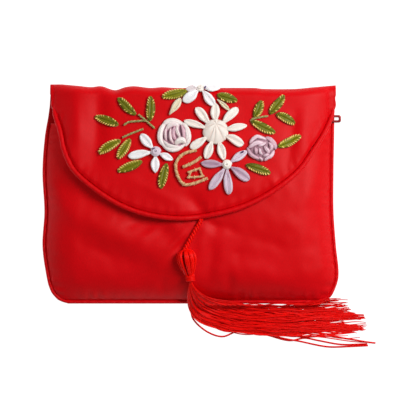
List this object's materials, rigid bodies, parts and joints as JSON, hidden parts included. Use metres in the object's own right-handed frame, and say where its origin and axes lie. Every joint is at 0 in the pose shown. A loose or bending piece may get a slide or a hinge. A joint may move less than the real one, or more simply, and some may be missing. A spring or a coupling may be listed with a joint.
{
  "type": "embroidered satin purse",
  "caption": "Small satin purse lying on its back: a puffed pocket under a rounded, corded flap with ribbon flowers, and a tassel on a short cord.",
  "frame": {"origin": "the middle of the back panel's underside, on the surface that the purse lies on", "axes": "+X to the purse's right, seen with the flap towards the viewer; +Y from the bottom seam towards the fold; +Z out of the front, up from the surface"},
  "size_m": [0.1307, 0.1034, 0.0174],
  "materials": {
    "satin": "red satin with a soft sheen",
    "rayon": "twisted rayon thread, bright red",
    "leaf_thread": "green ribbon with gold edges",
    "cream_ribbon": "satin ribbon",
    "white_ribbon": "satin ribbon",
    "lilac_ribbon": "satin ribbon",
    "gold_thread": "couched gold thread",
    "lacquered_metal": "dark red lacquer"
  },
  "bodies": {
    "root": {"back_and_flap": "satin", "front_panel": "satin", "flap_piping": "satin", "zip_tape": "satin", "zip_slider": "lacquered_metal", "zip_pull": "lacquered_metal", "tassel_cord": "rayon", "tassel": "rayon", "leaf_01": "leaf_thread", "leaf_02": "leaf_thread", "leaf_03": "leaf_thread", "leaf_04": "leaf_thread", "leaf_05": "leaf_thread", "leaf_06": "leaf_thread", "leaf_07": "leaf_thread", "leaf_08": "leaf_thread", "leaf_09": "leaf_thread", "leaf_10": "leaf_thread", "leaf_11": "leaf_thread", "leaf_12": "leaf_thread", "leaf_13": "leaf_thread", "leaf_14": "leaf_thread", "leaf_15": "leaf_thread", "bud_1": "cream_ribbon", "bud_2": "cream_ribbon", "stem_upper": "leaf_thread", "stem_lower": "leaf_thread", "stem_right": "leaf_thread", "basket": "gold_thread", "basket_bar": "gold_thread", "daisy_cream": "cream_ribbon", "daisy_lilac": "lilac_ribbon", "flower_white": "white_ribbon", "flower_fold": "white_ribbon", "rosette_cream": "cream_ribbon", "rosette_lilac": "lilac_ribbon"}
  },
  "joints": []
}
